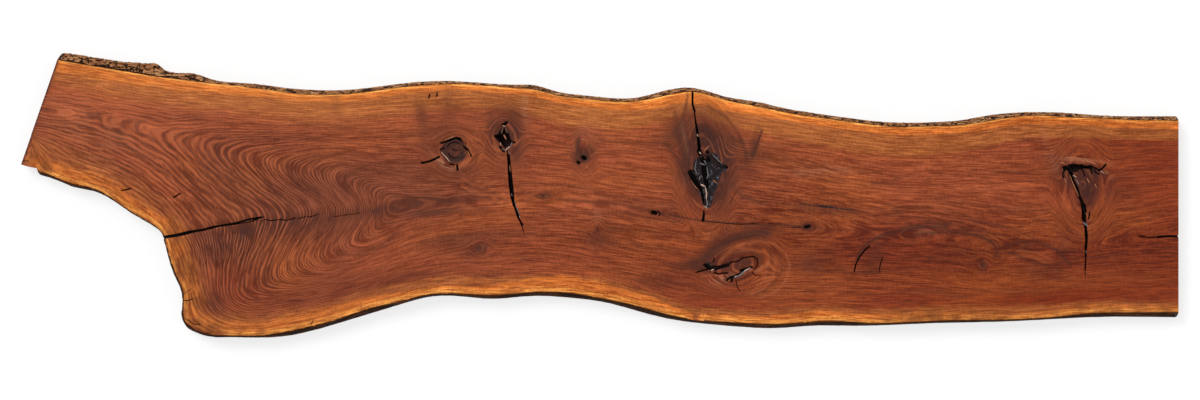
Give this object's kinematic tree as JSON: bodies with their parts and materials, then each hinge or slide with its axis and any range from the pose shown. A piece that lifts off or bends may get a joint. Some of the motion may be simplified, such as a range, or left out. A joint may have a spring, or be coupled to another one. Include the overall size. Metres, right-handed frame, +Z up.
{
  "type": "live-edge timber plank",
  "caption": "Thick sawn hardwood slab with a natural bark edge on each side, a forked end sawn on a slant and a square end, for table tops, shelves and benches.",
  "frame": {"origin": "middle of the bounding box, on the underside that it lies on", "axes": "+X along the slab from the forked end to the square end, +Y towards the bark edge, +Z up through the thickness"},
  "size_m": [2.44, 0.6037, 0.05],
  "materials": {
    "timber": "planed and oiled, satin"
  },
  "bodies": {
    "root": {"live_edge_plank": "timber"}
  },
  "joints": []
}
